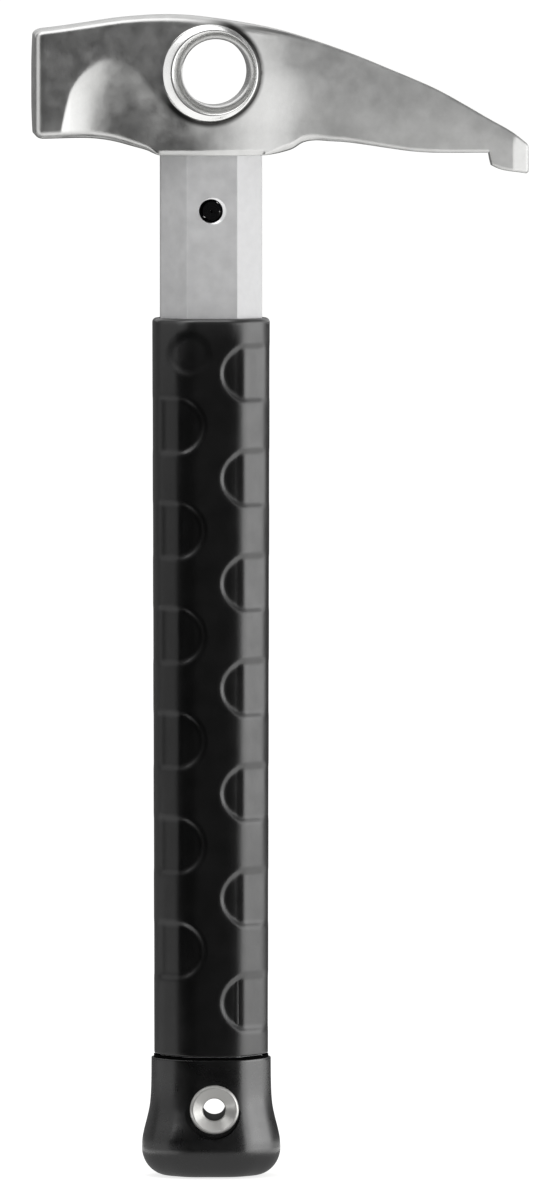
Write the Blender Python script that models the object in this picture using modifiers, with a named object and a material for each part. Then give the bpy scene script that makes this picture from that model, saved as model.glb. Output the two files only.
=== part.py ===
"""Piton hammer: a steel head pinned to an aluminium handle tube, with a rubber grip and end cap.

The hammer stands on its butt. +Z runs up the handle, +X points along the beak, and the origin is
the middle of the flat under the end cap.
"""

import math

import bmesh
import bpy
from mathutils import Matrix, Vector

MM = 0.001

# Gap between pieces that touch
TOUCH = 0.3 * MM

# Handle tube, an octagon that is flattened from front to back
TUBE_WIDTH = 25.0 * MM
TUBE_DEPTH = 20.0 * MM
TUBE_FACET = 6.3 * MM
TUBE_WALL = 2.2 * MM
BARE_LENGTH = 40.1 * MM

# Rubber grip and its finger grooves
GRIP_LENGTH = 181.6 * MM
GRIP_WALL = 1.95 * MM
GRIP_FOOT_WALL = 1.5 * MM
GRIP_EDGE = 1.6 * MM
GRIP_END_ROUND = 1.3 * MM
GROOVE_DEPTH = 0.6 * MM
GROOVE_FACET_DEPTH = 0.3 * MM
GROOVE_SIDE_DEPTH = 0.15 * MM
GROOVE_HEIGHT = 15.2 * MM
GROOVE_PITCH = 25.85 * MM
GROOVE_START = 13.4 * MM
GROOVE_MIDDLE_GAP = 1.4 * MM
DIMPLE_DIAMETER = 11.8 * MM
DIMPLE_START = 8.6 * MM
DIMPLE_OFFSET = 5.7 * MM

# End cap
CAP_HEIGHT = 30.1 * MM
CAP_WALL = 2.2 * MM
CAP_FLARE = 2.4 * MM
CAP_FLARE_HEIGHT = 6.9 * MM
CAP_FOOT_ROUND = 6.5 * MM
CAP_FLOOR = 4.0 * MM
CAP_CORNER = 3.0 * MM

# Lanyard eyelet, its washer and the core that carries it
EYE_HEIGHT = 16.5 * MM
EYE_BORE = 6.2 * MM
EYE_WALL = 0.8 * MM
EYE_FLANGE = 12.1 * MM
EYE_FLANGE_HEIGHT = 1.3 * MM
EYE_SEAT_MARGIN = 0.8 * MM
ROLL_WIDTH = 1.3 * MM
ROLL_HEIGHT = 1.0 * MM
WASHER_DIAMETER = 12.0 * MM
WASHER_THICKNESS = 0.8 * MM
PLUG_LENGTH = 30.0 * MM

# Head, measured from the handle's axis and from the mouth where the tube goes in
POLL_REACH = 44.2 * MM
POLL_WIDTH = 28.0 * MM
POLL_HEIGHT = 26.8 * MM
POLL_FLOOR = 4.2 * MM
POLL_EDGE = 1.3 * MM
FACE_CROWN = 0.5 * MM
CROWN_HEIGHT = 34.9 * MM
CROWN_OFFSET = 5.0 * MM
COLLAR_WALL = 1.6 * MM
THROAT_REACH = 25.5 * MM
THROAT_HEIGHT = 4.0 * MM
BEAK_REACH = 78.2 * MM
BEAK_WIDTH = 12.0 * MM
BEAK_EDGE = 1.4 * MM
TIP_TOP = 2.4 * MM
TIP_WIDTH = 9.4 * MM
TIP_CHAMFER = 4.0 * MM
TIP_END_WIDTH = 5.6 * MM
LUG_LENGTH = 9.5 * MM
LUG_DROP = 2.9 * MM
LUG_TOE = 4.6 * MM
LUG_STEP = 0.7 * MM

# Carabiner hole and the ring around it
HOLE_DIAMETER = 16.2 * MM
HOLE_HEIGHT = 20.4 * MM
HOLE_OFFSET = 0.5 * MM
RING_DIAMETER = 24.0 * MM
RING_WIDTH = 27.2 * MM
RING_LIP = 1.3 * MM
BELL_DEPTH = 5.0 * MM

# Thumb scoop on each side of the poll
SCOOP_FACE = 7.2 * MM
SCOOP_DEPTH = 5.0 * MM
SCOOP_WIDTH = 27.0 * MM
SCOOP_BASE = 5.0 * MM
SCOOP_RISE = 18.8 * MM

# Tang and cross pin
SOCKET_DEPTH = 4.0 * MM
TANG_LENGTH = 26.0 * MM
PIN_DIAMETER = 4.7 * MM
PIN_WALL = 1.0 * MM
PIN_SLOT = 1.0 * MM
PIN_DROP = 13.6 * MM
PIN_RECESS = 1.3 * MM
PIN_CHAMFER = 1.3 * MM

# Places worked out from the sizes above
OVERSHOOT = 1.0 * MM
GRIP_BOTTOM = CAP_HEIGHT + TOUCH
GRIP_TOP = CAP_HEIGHT + GRIP_LENGTH
MOUTH = GRIP_TOP + BARE_LENGTH
TUBE_BOTTOM = CAP_FLOOR + TOUCH
TUBE_TOP = MOUTH + SOCKET_DEPTH - TOUCH
PIN_Z = MOUTH - PIN_DROP
HOLE_Z = MOUTH + HOLE_HEIGHT
EYE_BARREL = EYE_BORE + 2 * EYE_WALL
EYE_SEAT = TUBE_DEPTH / 2 + CAP_WALL
BARREL_WIDTH = TUBE_DEPTH + 2 * COLLAR_WALL
COLLAR_REACH = TUBE_WIDTH / 2 + COLLAR_WALL

ALONG_Y = Matrix.Rotation(math.pi / 2, 4, "X")


def clear_scene():
    for item in list(bpy.data.objects):
        bpy.data.objects.remove(item, do_unlink=True)


def new_collection(name):
    made = bpy.data.collections.new(name)
    bpy.context.scene.collection.children.link(made)
    return made


clear_scene()
PIECES = new_collection("piton_hammer")
CUTTERS = new_collection("cutters")


def new_material(name, colour, metallic, roughness):
    made = bpy.data.materials.new(name)
    made.use_nodes = True
    shader = made.node_tree.nodes["Principled BSDF"]
    shader.inputs["Base Color"].default_value = (*colour, 1.0)
    shader.inputs["Metallic"].default_value = metallic
    shader.inputs["Roughness"].default_value = roughness
    return made


def add_mesh(name, mesh, place, is_cutter):
    made = bpy.data.objects.new(name, mesh)
    made.matrix_world = place
    if is_cutter:
        CUTTERS.objects.link(made)
        made.display_type = "WIRE"
        made.hide_render = True
    else:
        PIECES.objects.link(made)
    return made


def finish(piece, material, sharp_degrees=40):
    piece.data.materials.clear()
    piece.data.materials.append(material)
    piece.data.shade_smooth()
    piece.data.set_sharp_from_angle(angle=math.radians(sharp_degrees))
    return piece


def extrude_outline(name, points, thickness, place, is_cutter=False):
    """A flat outline, drawn as a filled curve and extruded to both sides of its plane."""
    curve = bpy.data.curves.new(name + "_outline", "CURVE")
    curve.dimensions = "2D"
    curve.fill_mode = "BOTH"
    curve.extrude = thickness / 2
    spline = curve.splines.new("POLY")
    spline.points.add(len(points) - 1)
    for point, (x, y) in zip(spline.points, points):
        point.co = (x, y, 0.0, 1.0)
    spline.use_cyclic_u = True
    drawn = bpy.data.objects.new(name + "_outline", curve)
    bpy.context.scene.collection.objects.link(drawn)
    bpy.context.view_layer.update()
    mesh = bpy.data.meshes.new_from_object(drawn.evaluated_get(bpy.context.evaluated_depsgraph_get()))
    bpy.data.objects.remove(drawn, do_unlink=True)
    shape = bmesh.new()
    shape.from_mesh(mesh)
    bmesh.ops.remove_doubles(shape, verts=shape.verts, dist=1e-6)
    bmesh.ops.recalc_face_normals(shape, faces=shape.faces)
    shape.to_mesh(mesh)
    shape.free()
    return add_mesh(name, mesh, place, is_cutter)


def upright_prism(name, points, low, high, is_cutter=False):
    place = Matrix.Translation((0.0, 0.0, (low + high) / 2))
    return extrude_outline(name, points, high - low, place, is_cutter)


def loft(name, sections, is_cutter=False):
    """A skin over rings of points, each ring with as many points as the next, closed at both ends."""
    shape = bmesh.new()
    rings = [[shape.verts.new(point) for point in section] for section in sections]
    for ring, following in zip(rings, rings[1:]):
        for i in range(len(ring)):
            j = (i + 1) % len(ring)
            shape.faces.new((ring[i], ring[j], following[j], following[i]))
    shape.faces.new(rings[0])
    shape.faces.new(rings[-1])
    bmesh.ops.recalc_face_normals(shape, faces=shape.faces)
    mesh = bpy.data.meshes.new(name)
    shape.to_mesh(mesh)
    shape.free()
    return add_mesh(name, mesh, Matrix.Identity(4), is_cutter)


def turn(name, profile, x, z, steps, is_cutter=False):
    """A closed profile of (radius, y) points, its outer side running toward the front, turned about Y."""
    mesh = bpy.data.meshes.new(name)
    points = [(radius, 0.0, -y) for radius, y in reversed(profile)]
    edges = [(i, (i + 1) % len(points)) for i in range(len(points))]
    mesh.from_pydata(points, edges, [])
    place = Matrix.Translation((x, 0.0, z)) @ ALONG_Y
    made = add_mesh(name, mesh, place, is_cutter)
    screw = made.modifiers.new("turn", "SCREW")
    screw.steps = steps
    screw.render_steps = steps
    screw.use_merge_vertices = True
    screw.merge_threshold = 1e-5
    return made


def rod(name, diameter, near_y, far_y, x, z, steps, is_cutter=False):
    """A plain round rod along Y."""
    middle = (near_y + far_y) / 2
    place = Matrix.Translation((x, middle, z)) @ ALONG_Y
    shape = bmesh.new()
    bmesh.ops.create_cone(
        shape,
        cap_ends=True,
        segments=steps,
        radius1=diameter / 2,
        radius2=diameter / 2,
        depth=far_y - near_y,
    )
    mesh = bpy.data.meshes.new(name)
    shape.to_mesh(mesh)
    shape.free()
    return add_mesh(name, mesh, place, is_cutter)


def combine(piece, other, operation):
    boolean = piece.modifiers.new(operation.lower() + "_" + other.name, "BOOLEAN")
    boolean.operation = operation
    boolean.solver = "EXACT"
    boolean.object = other


def cut(piece, *others):
    for other in others:
        combine(piece, other, "DIFFERENCE")


def join(piece, other):
    combine(piece, other, "UNION")


def octagon(grow):
    """The tube's outline, grown or shrunk all round by one wall."""
    half_width = TUBE_WIDTH / 2 + grow
    half_depth = TUBE_DEPTH / 2 + grow
    facet = TUBE_FACET + grow * (2 - math.sqrt(2))
    corners = [(half_width, half_depth - facet), (half_width - facet, half_depth)]
    corners += [(-x, y) for x, y in reversed(corners)]
    return corners + [(-x, -y) for x, y in corners]


def round_corners(points, radius, segments):
    """Each corner of a convex outline, replaced by an arc."""
    rounded = []
    for i, point in enumerate(points):
        corner = Vector(point)
        before = (Vector(points[i - 1]) - corner).normalized()
        after = (Vector(points[(i + 1) % len(points)]) - corner).normalized()
        half_angle = before.angle(after) / 2
        centre = corner + (before + after).normalized() * (radius / math.sin(half_angle))
        start = corner + before * (radius / math.tan(half_angle)) - centre
        end = corner + after * (radius / math.tan(half_angle)) - centre
        sweep = start.angle_signed(end)
        for step in range(segments + 1):
            turned = start.copy()
            turned.rotate(Matrix.Rotation(-sweep * step / segments, 2))
            rounded.append(tuple(centre + turned))
    return rounded


def smooth_line(knots, x):
    """The height at x of a smooth curve through knots of (x, height)."""
    if x <= knots[0][0]:
        return knots[0][1]
    if x >= knots[-1][0]:
        return knots[-1][1]
    slopes = []
    for i in range(len(knots)):
        low = knots[max(i - 1, 0)]
        high = knots[min(i + 1, len(knots) - 1)]
        slopes.append((high[1] - low[1]) / (high[0] - low[0]))
    i = max(i for i in range(len(knots) - 1) if knots[i][0] <= x)
    span = knots[i + 1][0] - knots[i][0]
    t = (x - knots[i][0]) / span
    rise = knots[i + 1][1] - knots[i][1]
    bend_in = slopes[i] * span - rise
    bend_out = rise - slopes[i + 1] * span
    return knots[i][1] + t * rise + t * (1 - t) * ((1 - t) * bend_in + t * bend_out)


STEEL = new_material("satin_cast_steel", (0.52, 0.52, 0.52), 1.0, 0.36)
ALUMINIUM = new_material("drawn_aluminium", (0.72, 0.72, 0.73), 1.0, 0.34)
PIN_STEEL = new_material("black_spring_steel", (0.05, 0.05, 0.05), 0.8, 0.45)
RUBBER = new_material("black_grip_rubber", (0.016, 0.016, 0.017), 0.0, 0.48)
CAP_RUBBER = new_material("black_cap_rubber", (0.013, 0.013, 0.014), 0.0, 0.38)
NYLON = new_material("black_nylon", (0.03, 0.03, 0.03), 0.0, 0.5)
PLATED = new_material("plated_eyelet_steel", (0.75, 0.75, 0.75), 1.0, 0.22)


def top_line():
    """The head's top edge, as shares of the way from the crown to the poll and to the beak's tip."""
    poll_top = POLL_FLOOR + POLL_HEIGHT
    knots = []
    for share in (1.0, 0.75, 0.5, 0.25):
        x = -CROWN_OFFSET - (POLL_REACH - CROWN_OFFSET) * share
        knots.append((x, CROWN_HEIGHT - (CROWN_HEIGHT - poll_top) * share**2))
    knots.append((-CROWN_OFFSET, CROWN_HEIGHT))
    shares = (
        (0.066, 0.963),
        (0.184, 0.880),
        (0.336, 0.778),
        (0.488, 0.628),
        (0.610, 0.505),
        (0.731, 0.378),
        (0.854, 0.218),
        (0.976, 0.058),
        (1.0, 0.0),
    )
    drop = CROWN_HEIGHT - TIP_TOP
    return knots + [(BEAK_REACH * along, TIP_TOP + drop * up) for along, up in shares]


def underside_line():
    """The head's lower edge: the poll's floor, the collar round the tube, the throat and the beak."""
    neck = POLL_REACH - SCOOP_FACE - COLLAR_REACH
    knots = [(-POLL_REACH, POLL_FLOOR), (-COLLAR_REACH - neck * 0.75, POLL_FLOOR * 1.04)]
    for share, up in ((0.5, 0.9), (0.3, 0.66), (0.13, 0.31), (0.0, 0.0)):
        knots.append((-COLLAR_REACH - neck * share, POLL_FLOOR * up))
    knots.append((COLLAR_REACH, 0.0))
    shoulder = THROAT_REACH - COLLAR_REACH
    for share, up in ((0.45, 0.22), (0.72, 0.62), (1.0, 1.0)):
        knots.append((COLLAR_REACH + shoulder * share, THROAT_HEIGHT * up))
    notch = BEAK_REACH - LUG_LENGTH - LUG_STEP
    beak = notch - THROAT_REACH
    for share, up in ((0.2, 0.92), (0.5, 0.4), (0.75, 0.12), (1.0, 0.1)):
        knots.append((THROAT_REACH + beak * share, THROAT_HEIGHT * up))
    return knots


def width_line():
    """Half the head's width, seen from above."""
    poll = POLL_WIDTH / 2
    barrel = BARREL_WIDTH / 2
    free_beak = BEAK_REACH - THROAT_REACH
    return [
        (-POLL_REACH, poll),
        (-COLLAR_REACH, poll),
        (-COLLAR_REACH * 0.65, poll - (poll - barrel) * 0.17),
        (-COLLAR_REACH * 0.3, poll - (poll - barrel) * 0.65),
        (0.0, barrel),
        (COLLAR_REACH * 0.45, barrel * 0.97),
        (COLLAR_REACH * 0.85, barrel * 0.885),
        (COLLAR_REACH * 1.3, barrel * 0.74),
        (THROAT_REACH, BEAK_WIDTH / 2 * 1.15),
        (THROAT_REACH + free_beak * 0.12, BEAK_WIDTH / 2),
        (THROAT_REACH + free_beak * 0.5, (BEAK_WIDTH * 0.6 + TIP_WIDTH * 0.4) / 2),
        (BEAK_REACH - TIP_CHAMFER, TIP_WIDTH / 2),
        (BEAK_REACH, TIP_END_WIDTH / 2),
    ]


def edge_line():
    """The radius of the head's long edges."""
    return [
        (-COLLAR_REACH * 1.5, POLL_EDGE),
        (-COLLAR_REACH * 0.4, POLL_EDGE * 1.3),
        (COLLAR_REACH, POLL_EDGE * 2.3),
        (THROAT_REACH, BEAK_EDGE * 1.8),
        (BEAK_REACH * 0.5, BEAK_EDGE),
        (BEAK_REACH, BEAK_EDGE * 0.6),
    ]


def head_section(x, low, high, half_width, edge):
    """A rounded rectangle across the head at x, between two heights above the mouth."""
    corners = [(half_width, low), (half_width, high), (-half_width, high), (-half_width, low)]
    return [(x, y, MOUTH + height) for y, height in round_corners(corners, edge, 4)]


def head_stations():
    """Distances along the head, closer together where it bends."""
    lug = BEAK_REACH - LUG_LENGTH
    chamfer = BEAK_REACH - TIP_CHAMFER
    stations = [-POLL_REACH + POLL_EDGE + (POLL_REACH - POLL_EDGE) * i / 14 for i in range(14)]
    stations += [THROAT_REACH * 1.2 * i / 14 for i in range(14)]
    beak_root = THROAT_REACH * 1.2
    stations += [beak_root + (lug - LUG_STEP - beak_root) * i / 10 for i in range(11)]
    stations += [lug, (lug + chamfer) / 2, chamfer, BEAK_REACH]
    return stations


def make_head_body():
    top, underside, widths, edges = top_line(), underside_line(), width_line(), edge_line()
    notch = BEAK_REACH - LUG_LENGTH
    sections = []
    for back, inset in ((0.0, 2.2), (0.15, 1.4), (0.45, 0.5)):
        x = -POLL_REACH + (FACE_CROWN + POLL_EDGE) * back
        low = POLL_FLOOR + POLL_EDGE * inset
        high = smooth_line(top, x) - POLL_EDGE * inset
        half_width = POLL_WIDTH / 2 - POLL_EDGE * inset
        sections.append(head_section(x, low, high, half_width, POLL_EDGE))
    for x in head_stations():
        low = smooth_line(underside, x)
        if x >= notch:
            share = (x - notch) / LUG_LENGTH
            low = low - LUG_DROP - (LUG_TOE - LUG_DROP + low) * share
        sections.append(
            head_section(x, low, smooth_line(top, x), smooth_line(widths, x), smooth_line(edges, x))
        )
    return loft("head", sections)


def scoop_cutter(side):
    """A bowl with an arched outline, open at the poll's underside and steep toward the face."""
    left = SCOOP_WIDTH * 0.48
    right = SCOOP_WIDTH - left
    middle = -(POLL_REACH - SCOOP_FACE) + left
    surface = POLL_WIDTH / 2
    foot = MOUTH - LUG_TOE
    levels = [(-OVERSHOOT, 0.0)]
    for step in range(8):
        angle = math.pi / 2 * step / 7
        levels.append((SCOOP_DEPTH * math.sin(angle), 1 - math.cos(angle)))
    sections = []
    for depth, inset in levels:
        near, far, up = left * (1 - 0.9 * inset), right * (1 - 0.36 * inset), SCOOP_RISE * (1 - 0.4 * inset)
        arch = []
        for step in range(29):
            angle = math.pi * step / 28
            reach = far if angle < math.pi / 2 else near
            arch.append((middle + reach * math.cos(angle), MOUTH + SCOOP_BASE + up * math.sin(angle)))
        outline = arch + [(middle - near, foot), (middle + far, foot)]
        sections.append([(x, side * (surface - depth), z) for x, z in outline])
    return loft("scoop_cutter_" + ("back" if side > 0 else "front"), sections, is_cutter=True)


def waist_cutter(side):
    """What is taken off below the ring, down to a barrel round the tube."""
    ring_radius = RING_DIAMETER / 2
    tail = SCOOP_WIDTH + SCOOP_FACE - POLL_REACH - OVERSHOOT * 1.5
    outline = [
        (tail, -OVERSHOOT),
        (tail, SCOOP_BASE + SCOOP_RISE * 0.16),
        (HOLE_OFFSET - ring_radius * 0.79, HOLE_HEIGHT - ring_radius * 0.54),
        (HOLE_OFFSET - ring_radius * 0.5, HOLE_HEIGHT - ring_radius * 0.4),
        (-OVERSHOOT, HOLE_HEIGHT - ring_radius * 0.4),
        (-OVERSHOOT, -OVERSHOOT),
    ]
    middle = side * BARREL_WIDTH * 0.65
    place = Matrix.Translation((0.0, middle, MOUTH)) @ ALONG_Y
    name = "waist_cutter_" + ("back" if side > 0 else "front")
    cutter = extrude_outline(name, outline, BARREL_WIDTH, place, is_cutter=True)
    reach = COLLAR_REACH * 1.85
    barrel = []
    for step in range(48):
        angle = 2 * math.pi * step / 48
        barrel.append((reach * math.cos(angle), BARREL_WIDTH / 2 * math.sin(angle)))
    cut(cutter, upright_prism(name + "_barrel", barrel, MOUTH - 9 * OVERSHOOT, HOLE_Z, is_cutter=True))
    return cutter


def ring_boss():
    radius, half = RING_DIAMETER / 2, RING_WIDTH / 2
    profile = [(0.0, half)]
    for step in range(5):
        angle = math.pi / 2 * step / 4
        across = radius - RING_LIP * (1 - math.sin(angle))
        profile.append((across, half - RING_LIP * (1 - math.cos(angle))))
    profile += [(r, -y) for r, y in reversed(profile)]
    return turn("ring_boss", profile, HOLE_OFFSET, HOLE_Z, 48, is_cutter=True)


def hole_cutter():
    """The carabiner hole, with a bell mouth on each side that ends inside the ring's lip."""
    bore, half = HOLE_DIAMETER / 2, RING_WIDTH / 2
    mouth = RING_DIAMETER / 2 - RING_LIP
    profile = [(0.0, half + OVERSHOOT), (mouth, half + OVERSHOOT)]
    for step in range(6):
        angle = math.pi / 2 * step / 5
        across = bore + (mouth - bore) * (1 - math.sin(angle))
        profile.append((across, half - BELL_DEPTH * (1 - math.cos(angle))))
    profile += [(r, -y) for r, y in reversed(profile)]
    return turn("hole_cutter", profile, HOLE_OFFSET, HOLE_Z, 48, is_cutter=True)


def make_head():
    head = make_head_body()
    for side in (-1, 1):
        cut(head, scoop_cutter(side), waist_cutter(side))
    join(head, ring_boss())
    cut(head, hole_cutter())
    cut(head, upright_prism("socket_cutter", octagon(TOUCH), MOUTH - OVERSHOOT, MOUTH + SOCKET_DEPTH, True))
    tang_top = MOUTH + SOCKET_DEPTH + OVERSHOOT
    join(head, upright_prism("tang", octagon(-TUBE_WALL - TOUCH), MOUTH - TANG_LENGTH, tang_top, True))
    reach = TUBE_DEPTH / 2 + OVERSHOOT
    cut(head, rod("tang_pin_hole", PIN_DIAMETER + 2 * TOUCH, -reach, reach, 0.0, PIN_Z, 24, True))
    return finish(head, STEEL)


def make_head_pin():
    """A rolled spring pin: most of a ring, with a slot down its length."""
    outer = PIN_DIAMETER / 2
    inner = outer - PIN_WALL
    half_slot = math.asin(PIN_SLOT / 2 / inner)
    angles = [half_slot + (2 * math.pi - 2 * half_slot) * step / 20 for step in range(21)]
    outline = [(outer * math.cos(angle), outer * math.sin(angle)) for angle in angles]
    outline += [(inner * math.cos(angle), inner * math.sin(angle)) for angle in reversed(angles)]
    place = Matrix.Translation((0.0, 0.0, PIN_Z)) @ ALONG_Y
    length = TUBE_DEPTH - 2 * PIN_RECESS
    return finish(extrude_outline("head_pin", outline, length, place), PIN_STEEL)


def pin_hole_cutter():
    """The pin's hole through the tube, with a chamfer at each mouth."""
    hole, face = PIN_DIAMETER / 2 + TOUCH, TUBE_DEPTH / 2
    profile = [
        (0.0, face + OVERSHOOT),
        (hole + PIN_CHAMFER + OVERSHOOT, face + OVERSHOOT),
        (hole, face - PIN_CHAMFER),
    ]
    profile += [(r, -y) for r, y in reversed(profile)]
    return turn("pin_hole_cutter", profile, 0.0, PIN_Z, 32, is_cutter=True)


def eyelet_hole_cutter(name):
    reach = TUBE_DEPTH
    return rod(name, EYE_BARREL + 2 * TOUCH, -reach, reach, 0.0, EYE_HEIGHT, 32, is_cutter=True)


def make_handle_tube():
    tube = upright_prism("handle_tube", octagon(0.0), TUBE_BOTTOM, TUBE_TOP)
    low, high = TUBE_BOTTOM - OVERSHOOT, TUBE_TOP + OVERSHOOT
    cut(tube, upright_prism("tube_bore", octagon(-TUBE_WALL), low, high, True))
    cut(tube, pin_hole_cutter(), eyelet_hole_cutter("tube_eyelet_hole"))
    return finish(tube, ALUMINIUM)


def make_tube_plug():
    plug = upright_prism("tube_plug", octagon(-TUBE_WALL - TOUCH), TUBE_BOTTOM, TUBE_BOTTOM + PLUG_LENGTH)
    cut(plug, eyelet_hole_cutter("plug_eyelet_hole"))
    return finish(plug, NYLON)


def groove_cutters():
    """Bands that wrap round one side of the grip and end in half circles on its front and back."""
    radius = GROOVE_HEIGHT / 2
    reach = TUBE_WIDTH / 2 + GRIP_WALL + OVERSHOOT
    count = int((GRIP_LENGTH - 2 * GROOVE_START) / (GROOVE_PITCH / 2)) + 1
    cutters = []
    for i in range(count):
        side = 1 if i % 2 == 0 else -1
        middle = GROOVE_MIDDLE_GAP + radius
        outline = [(side * reach, -radius), (side * reach, radius)]
        for step in range(13):
            angle = math.pi / 2 + math.pi * step / 12
            outline.append((side * (middle + radius * math.cos(angle)), radius * math.sin(angle)))
        z = GRIP_TOP - GROOVE_START - i * GROOVE_PITCH / 2
        place = Matrix.Translation((0.0, 0.0, z)) @ ALONG_Y
        thickness = TUBE_DEPTH + 2 * GRIP_WALL + 2 * OVERSHOOT
        cutters.append(extrude_outline(f"groove_cutter_{i + 1}", outline, thickness, place, True))
    return cutters


def grip_section(grow, height):
    return [(x, y, height) for x, y in round_corners(octagon(grow), GRIP_EDGE, 3)]


def groove_floor(grow, height):
    """The outline that the grooves reach: deepest on the flat front and back, and shallow at the sides."""
    half_width = TUBE_WIDTH / 2 + grow - GROOVE_SIDE_DEPTH
    half_depth = TUBE_DEPTH / 2 + grow - GROOVE_DEPTH
    outer = octagon(grow)[0]
    facet = outer[0] + outer[1] - GROOVE_FACET_DEPTH * math.sqrt(2)
    corners = [(half_width, facet - half_width), (facet - half_depth, half_depth)]
    corners += [(-x, y) for x, y in reversed(corners)]
    corners += [(-x, -y) for x, y in corners]
    return [(x, y, height) for x, y in round_corners(corners, GRIP_EDGE, 3)]


def make_grip_sleeve():
    sections = [grip_section(GRIP_FOOT_WALL, GRIP_BOTTOM)]
    for step in range(4):
        angle = math.pi / 2 * step / 3
        tuck = GRIP_END_ROUND * (1 - math.cos(angle))
        height = GRIP_TOP - GRIP_END_ROUND * (1 - math.sin(angle))
        sections.append(grip_section(GRIP_WALL - tuck, height))
    grip = loft("grip_sleeve", sections)
    for cutter in groove_cutters():
        cut(grip, cutter)
    front = TUBE_DEPTH / 2 + GRIP_WALL
    dimple_z = GRIP_TOP - DIMPLE_START
    near, far = -front - OVERSHOOT, -front + GROOVE_DEPTH * 1.5
    cut(grip, rod("dimple_cutter", DIMPLE_DIAMETER, near, far, -DIMPLE_OFFSET, dimple_z, 28, True))
    low, high = GRIP_BOTTOM + OVERSHOOT, GRIP_TOP - GRIP_END_ROUND - OVERSHOOT
    floors = [groove_floor(GRIP_FOOT_WALL, low), groove_floor(GRIP_WALL, high)]
    join(grip, loft("grip_core", floors, is_cutter=True))
    low, high = GRIP_BOTTOM - OVERSHOOT, GRIP_TOP + OVERSHOOT
    cut(grip, upright_prism("grip_bore", octagon(TOUCH), low, high, is_cutter=True))
    return finish(grip, RUBBER)


def cap_profile():
    """The cap's wall outside the tube at each height, from the rounded foot to the joint."""
    levels = []
    for step in range(7):
        angle = math.pi / 2 * step / 6
        tuck = CAP_FOOT_ROUND * (1 - math.sin(angle))
        levels.append((CAP_FLARE_HEIGHT * (1 - math.cos(angle)), CAP_WALL + CAP_FLARE - tuck))
    straight = CAP_HEIGHT - CAP_FLARE_HEIGHT
    for along, flare in ((0.1, 0.93), (0.2, 0.74), (0.33, 0.42), (0.46, 0.17), (0.65, 0.04), (1.0, 0.0)):
        levels.append((CAP_FLARE_HEIGHT + straight * along, CAP_WALL + CAP_FLARE * flare))
    return levels


def make_end_cap():
    sections = []
    for height, grow in cap_profile():
        outline = round_corners(octagon(grow), CAP_CORNER, 3)
        sections.append([(x, y, height) for x, y in outline])
    cap = loft("end_cap", sections)
    cut(cap, upright_prism("cap_pocket", octagon(TOUCH), CAP_FLOOR, CAP_HEIGHT + OVERSHOOT, True))
    seat = EYE_FLANGE + 2 * EYE_SEAT_MARGIN
    reach = TUBE_DEPTH
    for side in (-1, 1):
        near, far = sorted((side * EYE_SEAT, side * reach))
        name = "eyelet_seat_" + ("back" if side > 0 else "front")
        cut(cap, rod(name, seat, near, far, 0.0, EYE_HEIGHT, 40, is_cutter=True))
    cut(cap, eyelet_hole_cutter("cap_eyelet_hole"))
    return finish(cap, CAP_RUBBER)


def make_eyelet():
    """A barrel with a domed flange in front and its far end rolled over the washer."""
    bore, barrel, flange = EYE_BORE / 2, EYE_BARREL / 2, EYE_FLANGE / 2
    front = -EYE_SEAT - TOUCH
    roll = EYE_SEAT + 2 * TOUCH + WASHER_THICKNESS
    profile = [(bore, roll + ROLL_HEIGHT * 0.5), (bore, front - EYE_FLANGE_HEIGHT * 0.4)]
    for step in range(5):
        angle = math.pi * step / 4
        across = (bore + flange) / 2 - (flange - bore) / 2 * math.cos(angle)
        profile.append((across, front - EYE_FLANGE_HEIGHT * (0.45 + 0.55 * math.sin(angle))))
    profile += [(flange, front), (barrel, front), (barrel, roll), (barrel + ROLL_WIDTH, roll)]
    for step in range(5):
        angle = math.pi * step / 4
        across = (barrel + ROLL_WIDTH + bore) / 2 + (barrel + ROLL_WIDTH - bore) / 2 * math.cos(angle)
        profile.append((across, roll + ROLL_HEIGHT * (0.55 + 0.45 * math.sin(angle))))
    profile.reverse()
    return finish(turn("eyelet", profile, 0.0, EYE_HEIGHT, 40), PLATED)


def make_eyelet_washer():
    inner, outer = EYE_BARREL / 2 + TOUCH, WASHER_DIAMETER / 2
    near = EYE_SEAT + TOUCH
    far = near + WASHER_THICKNESS
    profile = [(outer, far), (outer, near), (inner, near), (inner, far)]
    return finish(turn("eyelet_washer", profile, 0.0, EYE_HEIGHT, 40), PLATED)


make_head()
make_head_pin()
make_handle_tube()
make_grip_sleeve()
make_end_cap()
make_tube_plug()
make_eyelet()
make_eyelet_washer()
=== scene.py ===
"""The looks of the piton hammer: a cast steel head, an anodised tube, black rubber and a plated eyelet."""

import math

import bmesh
import bpy
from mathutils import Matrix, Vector


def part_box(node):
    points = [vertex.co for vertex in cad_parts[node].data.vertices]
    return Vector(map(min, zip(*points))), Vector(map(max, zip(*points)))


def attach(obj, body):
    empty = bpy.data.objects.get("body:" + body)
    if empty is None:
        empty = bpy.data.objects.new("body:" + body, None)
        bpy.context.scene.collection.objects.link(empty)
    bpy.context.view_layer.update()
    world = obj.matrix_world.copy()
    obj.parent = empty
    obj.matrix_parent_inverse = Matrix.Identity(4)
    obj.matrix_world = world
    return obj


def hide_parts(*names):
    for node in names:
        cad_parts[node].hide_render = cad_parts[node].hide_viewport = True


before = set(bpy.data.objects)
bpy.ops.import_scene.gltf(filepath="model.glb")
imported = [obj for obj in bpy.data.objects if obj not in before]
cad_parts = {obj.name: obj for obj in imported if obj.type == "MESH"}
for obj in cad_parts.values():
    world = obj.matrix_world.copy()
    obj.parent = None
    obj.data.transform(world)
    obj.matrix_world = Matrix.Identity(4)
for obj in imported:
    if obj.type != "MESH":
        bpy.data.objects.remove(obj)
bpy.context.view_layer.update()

MM = 0.001
SAME_PLACE = 0.001 * MM
PAST_SIDES = 20 * MM

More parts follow.
